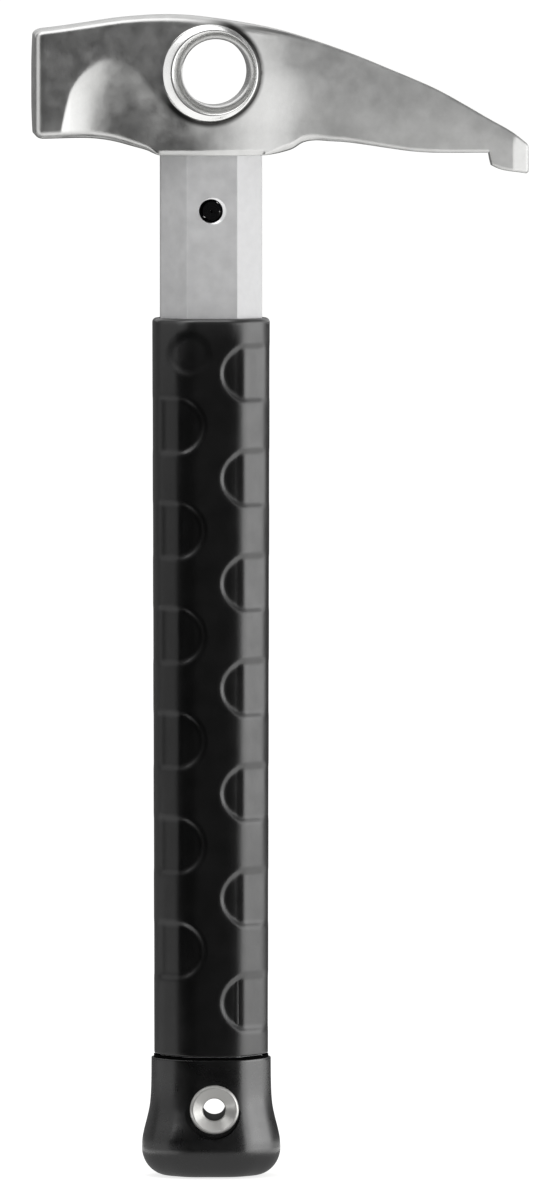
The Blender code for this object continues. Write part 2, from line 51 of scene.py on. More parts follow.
# The photograph's frame, and the point of the object at its middle
PHOTO_WIDTH, PHOTO_HEIGHT = 553, 1200
PIXEL = 0.2465 * MM
AXIS_PIXEL, BUTT_PIXEL = 211.0, 1176.0
CAMERA_LENS = 560.0
CAMERA_AZIMUTH, CAMERA_ELEVATION = -2.2, 3.0
FLOOR_GLOW, ROOM_LIGHT, FLOOR_LEVEL = 0.76, 0.42, -0.2 * MM

# Most of a noise texture lies between these
NOISE_LOW, NOISE_HIGH = 0.3, 0.7
TONE_LOW, TONE_HIGH = 0.3, 0.72


def colour(code):
    """An sRGB hex colour as linear light."""
    channels = [int(code[i : i + 2], 16) / 255 for i in (1, 3, 5)]
    return [c / 12.92 if c <= 0.04045 else ((c + 0.055) / 1.055) ** 2.4 for c in channels] + [1.0]


def add(tree, kind, inputs=None, **settings):
    """A shader node with its settings, its inputs' values and its links."""
    made = tree.nodes.new("ShaderNode" + kind)
    for name, value in settings.items():
        setattr(made, name, value)
    for socket, value in (inputs or {}).items():
        if isinstance(value, bpy.types.NodeSocket):
            tree.links.new(value, made.inputs[socket])
        else:
            made.inputs[socket].default_value = value
    return made


def start_material(name, base, metallic, roughness):
    """A new material, its node tree, and its shader with these plain values."""
    material = bpy.data.materials.new(name)
    material.use_nodes = True
    shader = material.node_tree.nodes["Principled BSDF"]
    shader.inputs["Base Color"].default_value = colour(base)
    shader.inputs["Metallic"].default_value = metallic
    shader.inputs["Roughness"].default_value = roughness
    return material, material.node_tree, shader


def link(tree, output, shader, socket):
    """Feeds a pattern to one of the shader's sockets."""
    tree.links.new(output, shader.inputs[socket])


def object_place(tree):
    """Where a point lies on the piece, which the patterns follow."""
    return add(tree, "TexCoord").outputs["Object"]


def noise(tree, place, size, detail, **inputs):
    """A noise pattern with blotches of about this size."""
    pattern = add(tree, "TexNoise", {"Vector": place, "Scale": 1 / size, "Detail": detail, **inputs})
    return pattern.outputs["Fac"]


def cloudy_tone(tree, cloud, dark, light):
    """A colour that follows the noise from a darker tone to a lighter one."""
    tone = add(tree, "ValToRGB", {"Fac": cloud})
    first, last = tone.color_ramp.elements
    first.position = TONE_LOW
    last.position = TONE_HIGH
    first.color = colour(dark)
    last.color = colour(light)
    return tone.outputs["Color"]


def uneven(tree, pattern, low, high, start=NOISE_LOW, end=NOISE_HIGH):
    """A number that follows the noise from low to high."""
    spread = add(tree, "MapRange", {"Value": pattern, "From Min": start, "From Max": end,
                                    "To Min": low, "To Max": high})
    return spread.outputs["Result"]


def bump(tree, height, strength, depth, **inputs):
    """The small relief of a pattern, as the normals that it gives."""
    made = add(tree, "Bump", {"Height": height, "Strength": strength, "Distance": depth, **inputs})
    return made.outputs["Normal"]


def eased(tree, value, start, end, first=0.0, last=1.0):
    """An eased change from the first number to the last, between two places."""
    step = add(tree, "MapRange", {"Value": value, "From Min": start, "From Max": end,
                                  "To Min": first, "To Max": last}, interpolation_type="SMOOTHSTEP")
    return step.outputs["Result"]


def satin_cast_steel():
    """Chrome-molybdenum steel, cast, blasted and satin polished: soft broad highlights, a cloudy tone
    from the blasting, a fine grit, a duller beak, and painted shade that darkens the crease beside the ring,
    most at its lower right. The grit's real grain of about 0.1 mm is drawn coarser, so that it shows."""
    material, tree, shader = start_material("satin_cast_steel", "#cdcdcc", 1.0, 0.34)
    place = object_place(tree)
    cloud = noise(tree, place, 4 * MM, 4.0, Roughness=0.6)
    tone = cloudy_tone(tree, cloud, "#c3c3c2", "#d4d4d3")

    about_ring = add(tree, "Mapping", {"Vector": place, "Scale": (1.0, 0.0, 1.0),
                                       "Location": (-RING_X * MM, 0.0, -MOUTH - RING_HEIGHT * MM)})
    reach = add(tree, "VectorMath", {0: about_ring.outputs["Vector"]}, operation="LENGTH").outputs["Value"]
    begins, full, fades, ends = [(RING_RADIUS + away) * MM for away in CREASE_SHADE_REACH]
    rise = eased(tree, reach, begins, full)
    fall = eased(tree, reach, fades, ends, PAINTED_CREASE_SHADE, 0.0)
    lower_right = add(tree, "VectorMath", {0: about_ring.outputs["Vector"], 1: CREASE_SHADE_SIDE},
                      operation="DOT_PRODUCT").outputs["Value"]
    side = eased(tree, lower_right, CREASE_SHADE_SIDE_START * MM, CREASE_SHADE_SIDE_FULL * MM)
    ring_line = add(tree, "Math", {0: rise, 1: fall}, operation="MULTIPLY")
    crease = add(tree, "Math", {0: ring_line.outputs[0], 1: side}, operation="MULTIPLY")
    # Painted shade: the crease beside the ring is darkened in the base colour, most toward its lower right
    base = add(tree, "Mix", {"Factor": crease.outputs[0], "A": tone, "B": colour("#2c2b2a")},
               data_type="RGBA")
    link(tree, base.outputs["Result"], shader, "Base Color")

    along = add(tree, "SeparateXYZ", {"Vector": place}).outputs["X"]
    duller = eased(tree, along, DULL_START * MM, DULL_FULL * MM, 0.0, BEAK_DULLNESS)
    satin = uneven(tree, cloud, 0.28, 0.38)
    rough = add(tree, "Math", {0: duller, 1: satin}, operation="ADD")
    link(tree, rough.outputs[0], shader, "Roughness")

    grit = noise(tree, place, 0.45 * MM, 3.0)
    dents = noise(tree, place, 3.2 * MM, 2.0)
    low = bump(tree, dents, 0.3, 0.1 * MM)
    link(tree, bump(tree, grit, 0.3, 0.03 * MM, Normal=low), shader, "Normal")
    return material


def worn_bright_steel():
    """The same steel where slings and carabiners have rubbed it bright: a clear shine, a little uneven."""
    material, tree, shader = start_material("worn_bright_steel", "#ededec", 1.0, 0.25)
    place = object_place(tree)
    wear = noise(tree, place, 4 * MM, 1.0)
    link(tree, uneven(tree, wear, 0.22, 0.28), shader, "Roughness")
    link(tree, bump(tree, wear, 0.2, 0.012 * MM), shader, "Normal")
    return material


def anodised_aluminium():
    """Drawn 6000-series tube, blasted and clear anodised: its matt oxide skin scatters most of the light.
    The pin's countersink is cut through the skin, down to bright metal. The faint lines from drawing run
    along the tube, three to a millimetre, coarser than the real ones so that they show."""
    material, tree, shader = start_material("anodised_aluminium", "#e6e6e7", ANODISED_METAL, 0.46)
    place = object_place(tree)
    across, along = 3 / MM, 1 / (25 * MM)
    drawn = add(tree, "Mapping", {"Vector": place, "Scale": (across, across, along)})
    lines = noise(tree, drawn.outputs["Vector"], 1.0, 2.0)
    cloud = noise(tree, place, 3.5 * MM, 3.0)
    link(tree, cloudy_tone(tree, cloud, "#dfdfe0", "#ececed"), shader, "Base Color")
    matt = uneven(tree, cloud, 0.44, 0.54)
    link(tree, bump(tree, lines, 0.2, 0.02 * MM), shader, "Normal")

    about_pin = add(tree, "Mapping", {"Vector": place, "Scale": (1.0, 0.0, 1.0),
                                      "Location": (-SINK_X * MM, 0.0, PIN_DROP * MM - MOUTH)})
    reach = add(tree, "VectorMath", {0: about_pin.outputs["Vector"]}, operation="LENGTH").outputs["Value"]
    bare = add(tree, "Math", {0: reach, 1: (SINK_RADIUS - SKIN) * MM}, operation="LESS_THAN").outputs[0]
    metal = add(tree, "MapRange", {"Value": bare, "To Min": ANODISED_METAL, "To Max": 1.0})
    link(tree, metal.outputs["Result"], shader, "Metallic")
    polish = add(tree, "Math", {0: bare, 1: SINK_POLISH}, operation="MULTIPLY")
    rough = add(tree, "Math", {0: matt, 1: polish.outputs[0]}, operation="SUBTRACT")
    link(tree, rough.outputs[0], shader, "Roughness")
    return material


def moulded_rubber(name, base, ior, low, high, grain, depth):
    """Black moulded rubber: a very dark body under an oily skin that catches the side lights, with the
    grain of a spark-eroded mould. The real grain of about 0.1 mm is drawn coarser, so that it shows."""
    material, tree, shader = start_material(name, base, 0.0, (low + high) / 2)
    shader.inputs["IOR"].default_value = ior
    shader.inputs["Specular IOR Level"].default_value = 1.0
    place = object_place(tree)
    cloud = noise(tree, place, 5 * MM, 3.0)
    link(tree, uneven(tree, cloud, low, high), shader, "Roughness")
    pores = noise(tree, place, grain, 2.0)
    link(tree, bump(tree, pores, 0.4, depth), shader, "Normal")
    return material


def seam_shade_rubber():
    """Painted shade for the seam between the grip and the cap: dead black, with almost no reflection and no
    sheen, standing in for the shadow in the gap.
    """
    material, tree, shader = start_material("seam_shade_rubber", "#070707", 0.0, 0.9)
    shader.inputs["Specular IOR Level"].default_value = 0.05
    place = object_place(tree)
    seam_roughness = noise(tree, place, 0.6 * MM, 2.0)
    link(tree, uneven(tree, seam_roughness, 0.8, 1.0, 0.0, 1.0), shader, "Roughness")
    return material


def nickel_plate():
    """Nickel on a pressed brass eyelet, tumbled: pale and satin, with faint handling marks."""
    material, tree, shader = start_material("nickel_plate", "#f0efec", 0.6, 0.3)
    place = object_place(tree)
    marks = noise(tree, place, 1.2 * MM, 1.0)
    link(tree, uneven(tree, marks, 0.28, 0.33, 0.35), shader, "Roughness")
    return material


def black_oxide_steel():
    """Spring steel blackened in a hot salt bath: dark, with a dull sheen."""
    material, tree, shader = start_material("black_oxide_steel", "#1a1a1b", 0.9, 0.42)
    place = object_place(tree)
    bloom = noise(tree, place, 0.8 * MM, 3.0)
    link(tree, uneven(tree, bloom, 0.34, 0.55, 0.0, 1.0), shader, "Roughness")
    return material


def moulded_nylon():
    """Glass-filled black nylon, moulded: even and slightly dull, with fibres drawn coarser than real."""
    material, tree, shader = start_material("moulded_nylon", "#2b2b2c", 0.0, 0.5)
    place = object_place(tree)
    fibres = noise(tree, place, 0.5 * MM, 2.0)
    link(tree, bump(tree, fibres, 0.3, 0.02 * MM), shader, "Normal")
    return material


def activate(piece):
    """Selects this piece alone for the next operator."""
    bpy.ops.object.select_all(action="DESELECT")
    piece.select_set(True)
    bpy.context.view_layer.objects.active = piece


def apply_modifier(piece, kind, **settings):
    """Puts a modifier on the piece and applies it at once."""
    activate(piece)
    modifier = piece.modifiers.new(kind.lower(), kind)
    for name, value in settings.items():
        setattr(modifier, name, value)
    bpy.ops.object.modifier_apply(modifier=modifier.name)


def coat(piece, material):
    """Gives the piece this material alone."""
    piece.data.materials.clear()
    piece.data.materials.append(material)


def dress(piece, node, material):
    """The finished piece: its material, its place on the body and the CAD node that it stands for."""
    coat(piece, material)
    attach(piece, "root")
    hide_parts(node)


def smooth_line(knots, x):
    """The value at x of a smooth curve through knots of (x, value)."""
    if x <= knots[0][0]:
        return knots[0][1]
    if x >= knots[-1][0]:
        return knots[-1][1]
    i = max(i for i in range(len(knots) - 1) if knots[i][0] <= x)
    slopes = []
    for j in (i, i + 1):
        low, high = knots[max(j - 1, 0)], knots[min(j + 1, len(knots) - 1)]
        slopes.append((high[1] - low[1]) / (high[0] - low[0]))
    span = knots[i + 1][0] - knots[i][0]
    t = (x - knots[i][0]) / span
    rise = knots[i + 1][1] - knots[i][1]
    bend_in = slopes[0] * span - rise
    bend_out = rise - slopes[1] * span
    return knots[i][1] + t * rise + t * (1 - t) * ((1 - t) * bend_in + t * bend_out)


def smooth_step(low, high, value):
    """Nought below low, one above high, and an eased change between them."""
    t = min(max((value - low) / (high - low), 0.0), 1.0)
    return t * t * (3 - 2 * t)


def rolled_sheet(name, around, along, place):
    """A tube laid out from a flat grid: place(column, row) gives each point, and the seam is merged."""
    bpy.ops.mesh.primitive_grid_add(x_subdivisions=around, y_subdivisions=along, size=1.0,
                                    location=(0.0, 0.0, 0.0))
    piece = bpy.context.object
    piece.name = piece.data.name = name
    columns = around + 1
    for index, vertex in enumerate(piece.data.vertices):
        row, column = divmod(index, columns)
        vertex.co = place(column % around, row)
    activate(piece)
    bpy.ops.object.mode_set(mode="EDIT")
    bpy.ops.mesh.select_all(action="SELECT")
    bpy.ops.mesh.remove_doubles(threshold=SAME_PLACE / 2)
    bpy.ops.mesh.select_all(action="DESELECT")
    bpy.ops.mesh.select_mode(type="EDGE")
    bpy.ops.mesh.select_non_manifold()
    if any(edge.select for edge in bmesh.from_edit_mesh(piece.data).edges):
        bpy.ops.mesh.edge_face_add()
    bpy.ops.mesh.select_mode(type="VERT")
    bpy.ops.mesh.select_all(action="SELECT")
    bpy.ops.mesh.normals_make_consistent(inside=False)
    bpy.ops.object.mode_set(mode="OBJECT")
    return piece


def spun(name, profile, x, z, steps):
    """A profile of (radius, y) in millimetres, extruded point by point and spun round an axis along Y."""
    bpy.ops.mesh.primitive_plane_add(size=MM, location=(0.0, 0.0, 0.0))
    piece = bpy.context.object
    piece.name = piece.data.name = name
    bpy.ops.object.mode_set(mode="EDIT")
    bpy.ops.mesh.select_mode(type="VERT")
    bpy.ops.mesh.merge(type="CENTER")
    last = Vector((x + profile[0][0] * MM, profile[0][1] * MM, z))
    bpy.ops.transform.translate(value=last)
    for radius, y in profile[1:]:
        point = Vector((x + radius * MM, y * MM, z))
        bpy.ops.mesh.extrude_region_move(TRANSFORM_OT_translate={"value": point - last})
        last = point
    bpy.ops.mesh.select_all(action="SELECT")
    bpy.ops.mesh.spin(steps=steps, angle=2 * math.pi, center=(x, 0.0, z), axis=(0.0, 1.0, 0.0))
    bpy.ops.mesh.select_all(action="SELECT")
    bpy.ops.mesh.remove_doubles(threshold=SAME_PLACE)
    bpy.ops.mesh.normals_make_consistent(inside=False)
    bpy.ops.object.mode_set(mode="OBJECT")
    return piece


def rod_cutter(name, diameter, x, z, steps, near_y=-PAST_SIDES, far_y=PAST_SIDES):
    """A round cutter along Y, right through the hammer unless its two ends are given."""
    bpy.ops.mesh.primitive_cylinder_add(vertices=steps, radius=diameter / 2, depth=far_y - near_y,
                                        location=(x, (near_y + far_y) / 2, z),
                                        rotation=(math.pi / 2, 0.0, 0.0))
    cutter = bpy.context.object
    cutter.name = name
    return cutter


def cut(piece, cutter):
    """Takes the cutter's shape out of the piece, and the cutter out of the scene."""
    apply_modifier(piece, "BOOLEAN", operation="DIFFERENCE", solver="EXACT", object=cutter)
    bpy.data.objects.remove(cutter)


def smooth_shade(piece, degrees):
    """Smooth shading, except over the edges sharper than this."""
    activate(piece)
    bpy.ops.object.shade_smooth_by_angle(angle=math.radians(degrees))


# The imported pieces' corners, which the finer pieces keep to
HEAD_LOW, HEAD_HIGH = (Vector(corner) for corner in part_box("head"))
GRIP_LOW, GRIP_HIGH = (Vector(corner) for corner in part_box("grip_sleeve"))
TUBE_LOW, TUBE_HIGH = (Vector(corner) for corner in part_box("handle_tube"))
CAP_HIGH = Vector(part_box("end_cap")[1])
TOUCH = 0.3 * MM
MOUTH = GRIP_HIGH.z + 40.1 * MM
TUBE_FACET = 6.3 * MM

# The head, in millimetres: places are along X, and heights are above its mouth, where the tube goes in
BEAK_END = HEAD_HIGH.x / MM
TOP_LINE = [(-44.2, 30.7), (-38, 31.4), (-31, 32.4), (-22, 33.7), (-12, 34.4), (-5, 34.2), (2, 33.4),
            (8, 32.5), (14, 31.4), (20, 29.9), (26, 28.0), (32, 25.9), (38, 23.6), (44, 21.1), (50, 18.6),
            (56, 15.9), (62, 12.6), (68, 9.1), (74, 5.7), (78.2, 2.5)]
UNDERSIDE_LINE = [(-44.2, 4.2), (-31, 4.35), (-25, 3.7), (-19, 2.15), (-16, 1.3), (-14, 0.4), (-12.5, 0.05),
                  (12.5, 0.05), (15, 0.3), (17.5, 0.8), (20, 1.6), (22.5, 3.1), (25.5, 3.6), (29, 3.4),
                  (33, 3.15), (38, 2.5), (44, 1.6), (50, 0.8), (56, 0.5), (68.4, 0.5)]
LUG_LINE = [(68.4, 0.5), (69.1, -2.7), (77.2, -4.6), (78.2, -4.6)]
# Half the head's thickness, at its shoulder and low down by the mouth
UPPER_WIDTH = [(-44.2, 14.0), (-36, 13.75), (-28, 13.5), (-20, 13.2), (-14, 13.0), (-10, 12.9), (-5, 12.75),
               (0, 12.3), (6, 11.3), (12, 9.9), (18, 8.5), (24, 7.4), (30, 6.75), (38, 6.2), (52, 5.4),
               (66, 4.75), (74.2, 4.4)]
LOWER_WIDTH = [(-12, 12.4), (-8, 12.4), (-4, 12.2), (0, 11.8), (4, 11.15), (8, 10.3), (12, 9.25), (16, 8.15),
               (20, 7.25), (24, 6.7), (28, 6.45), (32, 6.35), (38, 6.1), (52, 5.4), (66, 4.75), (74.2, 4.4)]
LOWER_FROM, LOWER_FULL, SHOULDER_LOW, SHOULDER_HIGH = -8, 0, 6, 22
# How far its long edges are rounded
TOP_EDGE = [(-44.2, 1.5), (-20, 1.6), (-10, 2.0), (2, 2.4), (10, 1.9), (20, 1.5), (45, 1.1), (78.2, 0.8)]
UNDER_EDGE = [(-44.2, 2.0), (-24, 2.2), (-16, 1.4), (-13, 0.4), (12, 0.4), (18, 1.8), (30, 1.5), (45, 1.1),
              (78.2, 0.8)]
EDGE_SHRINK, LEAST_EDGE = 0.6, 0.3
# The beak's sides lean in toward its back, and less so near the tip
CROWN_DEPTH, CROWN_START, CROWN_FROM, CROWN_FULL = 1.7, 0.35, 8, 22
CROWN_FADE, FADE_FROM, FADE_FULL = 0.7, 35, 60
# The bevelled rim round the mouth, and where it begins and ends
RIM_HEIGHT, RIM_SLOPE, RIM_LEFT, RIM_RIGHT = 1.35, 0.33, (-14, -12.6), (12.4, 13)
# The thumb scoop: its arched edge, and how deep it goes below that at the level of the mouth
SCOOP_ARCH = [(-37.7, 2.0), (-37.4, 4.0), (-37.05, 6.2), (-35.9, 11.7), (-34.8, 15.7), (-33.3, 18.5),
              (-31.5, 20.7), (-29.5, 22.3), (-26.7, 23.8), (-24.5, 24.1), (-22, 23.6), (-19.4, 22.0),
              (-17.4, 20.0), (-15.7, 18.0), (-13.7, 15.6), (-11.9, 12.8), (-9.7, 9.6), (-7, 7.0), (0, 5.0)]
SCOOP_CUT = [(-37.7, 0.2), (-37.05, 0.7), (-35.9, 1.3), (-34.8, 1.85), (-33.3, 2.55), (-31.5, 3.15),
             (-29.5, 3.55), (-27, 3.75), (-24.5, 3.75), (-20, 3.35), (-16, 2.6), (-12, 1.6), (-9, 1.05),
             (-6, 0.8), (0, 0.4)]
SCOOP_BOW = 1.8
# Its edge is crisp at the left and softer at the right
SCOOP_RIM, SCOOP_RIM_RIGHT, RIM_SOFTENS, RIM_SOFT = 0.25, 0.5, -24, -14
TIP_CHAMFER, TIP_END_WIDTH, TIP_ROUND = 4.0, 5.2, 0.6
FACE_CROWN, BORDER_LENGTH, BORDER_DEPTH = 0.5, 2.2, 1.5
# The ring round the carabiner hole: a narrow lip that falls away outward, and a bell mouth
RING_X, BORE_X, RING_HEIGHT = -0.75, 0.85, 20.4
RING_RADIUS, BORE_RADIUS, RING_SEAT_X = 11.9, 8.2, 0.4
LIP_REACH, LIP_EDGE, LIP_CURVE = 13.95, 0.3, 1.15
LIP_CREST, LIP_X, LIP_DROP, LIP_DROP_LEFT = 10.5, 0.3, 0.65, 1.05
BELL_START, BELL_TURN, BELL_END = 10.15, 50, 82
# The casting's wall round the ring, which spreads toward the left
WALL_INSIDE, WALL_OUTSIDE, WALL_TOP, WALL_BLEND, WALL_FADE = -2.0, 3.0, 12.6, 0.3, 2.5
WALL_SLOPE, WALL_EASING, WALL_LEFT_FROM, WALL_LEFT_FULL = 3.2, 1.7, -4, 8
# The painted shade in the crease beside the ring: where it begins, is full, fades and ends beyond the
# ring's radius, and the direction in which it thickens
PAINTED_CREASE_SHADE, CREASE_SHADE_REACH = 0.95, (-0.1, 0.2, 0.7, 2.0)
CREASE_SHADE_SIDE, CREASE_SHADE_SIDE_START, CREASE_SHADE_SIDE_FULL = (0.8, 0.0, -0.6), -9, -2
BEAK_DULLNESS, DULL_START, DULL_FULL = 0.1, 14, 40
# Points across the top or the underside, round a long edge and up one side, where they lie closer low down
FLAT_STEPS, EDGE_STEPS, SIDE_STEPS, SIDE_SPACING = 8, 6, 92, 1.25
BORDER_STEPS, TIP_STEPS, CLOSEST_ROWS = 10, 4, 0.02


def soft_max(a, b, softness):
    """The larger of two numbers, with the corner where they meet rounded off."""
    return (a + b + math.hypot(a - b, softness)) / 2


def face_width(x, height):
    """Half the head's thickness at a point of its side, in millimetres."""
    width = smooth_line(UPPER_WIDTH, x)
    if SCOOP_ARCH[0][0] < x < 0:
        rise = max(height, 0.0) / smooth_line(SCOOP_ARCH, x)
        rim = SCOOP_RIM + (SCOOP_RIM_RIGHT - SCOOP_RIM) * smooth_step(RIM_SOFTENS, RIM_SOFT, x)
        width -= soft_max(smooth_line(SCOOP_CUT, x) * (1 - rise**SCOOP_BOW), 0.0, rim)
    if x > LOWER_FROM:
        upward = smooth_step(SHOULDER_LOW, SHOULDER_HIGH, height)
        barrel = smooth_line(LOWER_WIDTH, x) * (1 - upward) + smooth_line(UPPER_WIDTH, x) * upward
        width += (barrel - width) * smooth_step(LOWER_FROM, LOWER_FULL, x)
    if x > CROWN_FROM:
        crown = CROWN_DEPTH * smooth_step(CROWN_FROM, CROWN_FULL, x)
        crown *= 1 - CROWN_FADE * smooth_step(FADE_FROM, FADE_FULL, x)
        start = smooth_line(TOP_LINE, x) * CROWN_START
        width -= crown * max((height - start) / (smooth_line(TOP_LINE, x) - start), 0.0) ** 2
    if x > BEAK_END - TIP_CHAMFER:
        share = (x - BEAK_END + TIP_CHAMFER) / TIP_CHAMFER
        width = UPPER_WIDTH[-1][1] * (1 - share) + TIP_END_WIDTH / 2 * share
    if RIM_LEFT[0] < x < RIM_RIGHT[1]:
        mouth_part = smooth_step(*RIM_LEFT, x) * (1 - smooth_step(*RIM_RIGHT, x))
        width -= mouth_part * RIM_SLOPE * max(RIM_HEIGHT - height, 0.0)
    across = math.hypot(x - RING_X, height - RING_HEIGHT) - RING_RADIUS
    if WALL_INSIDE < across < WALL_OUTSIDE:
        leftward = smooth_step(WALL_LEFT_FROM, WALL_LEFT_FULL, RING_X - x)
        wall = WALL_TOP - max(across, 0.0) * (WALL_SLOPE - WALL_EASING * leftward)
        under_top = smooth_line(TOP_LINE, x) - smooth_line(TOP_EDGE, x) - height
        width += (soft_max(width, wall, WALL_BLEND) - width) * smooth_step(0.0, WALL_FADE, under_top)
    return width


def head_stations():
    """Places along the head, close together round the scoop, the ring and the sharp changes."""
    spans = [(-43.6, -38.4, 10), (-38.4, -32, 32), (-32, 14, 150), (14, 32, 36), (32, 68.3, 52),
             (68.4, 69.1, 3), (69.2, BEAK_END - TIP_CHAMFER - 0.15, 10),
             (BEAK_END - TIP_CHAMFER, BEAK_END - TIP_ROUND, 8)]
    places = []
    for low, high, count in spans:
        places += [low + (high - low) * i / (count - 1) for i in range(count)]
    return places


def head_section(x, inset, reach=1.0):
    """The points round one cross section, from the middle of its underside up the front and down behind."""
    low = smooth_line(LUG_LINE if x > LUG_LINE[0][0] else UNDERSIDE_LINE, x) + inset
    high = smooth_line(TOP_LINE, x) - inset
    edge = max(smooth_line(UNDER_EDGE, x) - inset * EDGE_SHRINK, LEAST_EDGE)
    top_edge = max(smooth_line(TOP_EDGE, x) - inset * EDGE_SHRINK, LEAST_EDGE)
    front = []
    bottom_width = face_width(x, low + edge) - inset
    top_width = face_width(x, high - top_edge) - inset
    for i in range(FLAT_STEPS):
        front.append((-(bottom_width - edge) * i / FLAT_STEPS, low))
    for i in range(EDGE_STEPS):
        angle = math.pi / 2 * i / EDGE_STEPS
        front.append((-(bottom_width - edge + edge * math.sin(angle)), low + edge - edge * math.cos(angle)))
    for i in range(SIDE_STEPS):
        height = low + edge + (high - low - edge - top_edge) * (i / SIDE_STEPS) ** SIDE_SPACING
        front.append((-(face_width(x, height) - inset), height))
    for i in range(EDGE_STEPS):
        angle = math.pi / 2 * i / EDGE_STEPS
        front.append((-(top_width - top_edge + top_edge * math.cos(angle)),
                      high - top_edge + top_edge * math.sin(angle)))
    for i in range(FLAT_STEPS + 1):
        front.append((-(top_width - top_edge) * (1 - i / FLAT_STEPS), high))
    section = front + [(-y, z) for y, z in front[-2:0:-1]]
    middle = (low + high) / 2
    return [(y * reach, middle + (z - middle) * reach) for y, z in section]


def make_head():
    """The casting: a sheet laid over its cross sections from the crowned face to the beak's tip."""
    poll_end = HEAD_LOW.x / MM
    rows = []
    for share in (0.02, 0.25, 0.5, 0.75, 0.93):
        crown = FACE_CROWN * share**2
        rows.append([(poll_end + crown, y, z) for y, z in head_section(poll_end, BORDER_DEPTH, share)])
    for i in range(BORDER_STEPS):
        angle = math.pi / 2 * i / BORDER_STEPS
        x = poll_end + FACE_CROWN + BORDER_LENGTH * (1 - math.cos(angle))
        rows.append([(x, y, z) for y, z in head_section(x, BORDER_DEPTH * (1 - math.sin(angle)))])
    for x in head_stations():
        if x > rows[-1][0][0] + CLOSEST_ROWS:
            rows.append([(x, y, z) for y, z in head_section(x, 0.0)])
    for i in range(1, TIP_STEPS + 1):
        angle = math.pi / 2 * i / TIP_STEPS
        x = BEAK_END - TIP_ROUND + TIP_ROUND * math.sin(angle)
        rows.append([(x, y, z) for y, z in head_section(x, TIP_ROUND * (1 - math.cos(angle)))])
    for share in (0.7, 0.3, 0.02):
        rows.append([(BEAK_END, y, z) for y, z in head_section(BEAK_END, TIP_ROUND, share)])
    around = len(rows[0])

    def place(column, row):
        x, y, z = rows[row][column]
        return x * MM, y * MM, MOUTH + z * MM

    head = rolled_sheet("head_casting", around, len(rows) - 1, place)
    seat = (RING_RADIUS + BORE_RADIUS) * MM
    cut(head, rod_cutter("ring_seat", seat, RING_SEAT_X * MM, MOUTH + RING_HEIGHT * MM, 96))
    smooth_shade(head, 40)
    dress(head, "head", STEEL)


def make_ring():
    """The raised ring of the carabiner hole: a narrow lip that falls away outward, more so at its left, and
    a deep bell mouth. Their circles are not quite concentric."""
    outer = RING_RADIUS - LIP_EDGE
    outer_reach = LIP_REACH - LIP_DROP
    profile = [(RING_RADIUS, 0.0), (RING_RADIUS, -(outer_reach - LIP_EDGE))]
    for i in range(1, 5):
        angle = math.pi / 2 * i / 4
        profile.append((outer + LIP_EDGE * math.cos(angle),
                        -(outer_reach - LIP_EDGE + LIP_EDGE * math.sin(angle))))
    for i in range(1, 9):
        share = i / 8
        drop = LIP_DROP * (1 - share) ** LIP_CURVE
        profile.append((outer + (LIP_CREST - outer) * share, -(LIP_REACH - drop)))
    bell = [(LIP_CREST - BELL_START, 0, BELL_TURN, 6), (BELL_START - BORE_RADIUS, BELL_TURN, BELL_END, 14)]
    for reach, first, last, steps in bell:
        first, last = math.radians(first), math.radians(last)
        radius = reach / (math.sin(last) - math.sin(first))
        across, y = profile[-1]
        for i in range(1, steps + 1):
            angle = first + (last - first) * i / steps
            profile.append((across - radius * (math.sin(angle) - math.sin(first)),
                            y + radius * (math.cos(first) - math.cos(angle))))
    profile += [(r, -y) for r, y in reversed(profile[1:])]
    profile.append(profile[0])
    ring = spun("carabiner_ring", profile, RING_X * MM, MOUTH + RING_HEIGHT * MM, 144)
    for vertex in ring.data.vertices:
        across = math.hypot(vertex.co.x - RING_X * MM, vertex.co.z - MOUTH - RING_HEIGHT * MM) / MM
        if across > LIP_CREST:
            crest_share = max(outer - across, 0.0) / (outer - LIP_CREST)
            shift = (LIP_X - RING_X) * crest_share
            leftward = max((RING_X * MM - vertex.co.x) / MM / across, 0.0)
            deeper = (LIP_DROP_LEFT - LIP_DROP) * leftward * (1 - crest_share)
            if abs(vertex.co.y) > LIP_REACH / 2 * MM:
                vertex.co.y -= math.copysign(deeper * MM, vertex.co.y)
        else:
            shift = BORE_X - RING_X + (LIP_X - BORE_X) * (across - BORE_RADIUS) / (LIP_CREST - BORE_RADIUS)
        vertex.co.x += shift * MM
    smooth_shade(ring, 60)
    dress(ring, "head", BRIGHT_STEEL)


def octagon(grow):
    """The tube's outline, grown or shrunk all round by one wall."""
    half_width = TUBE_HIGH.x + grow
    half_depth = TUBE_HIGH.y + grow
    facet = TUBE_FACET + grow * (2 - math.sqrt(2))
    corners = [(half_width, half_depth - facet), (half_width - facet, half_depth)]
    corners += [(-x, y) for x, y in reversed(corners)]
    return corners + [(-x, -y) for x, y in corners]


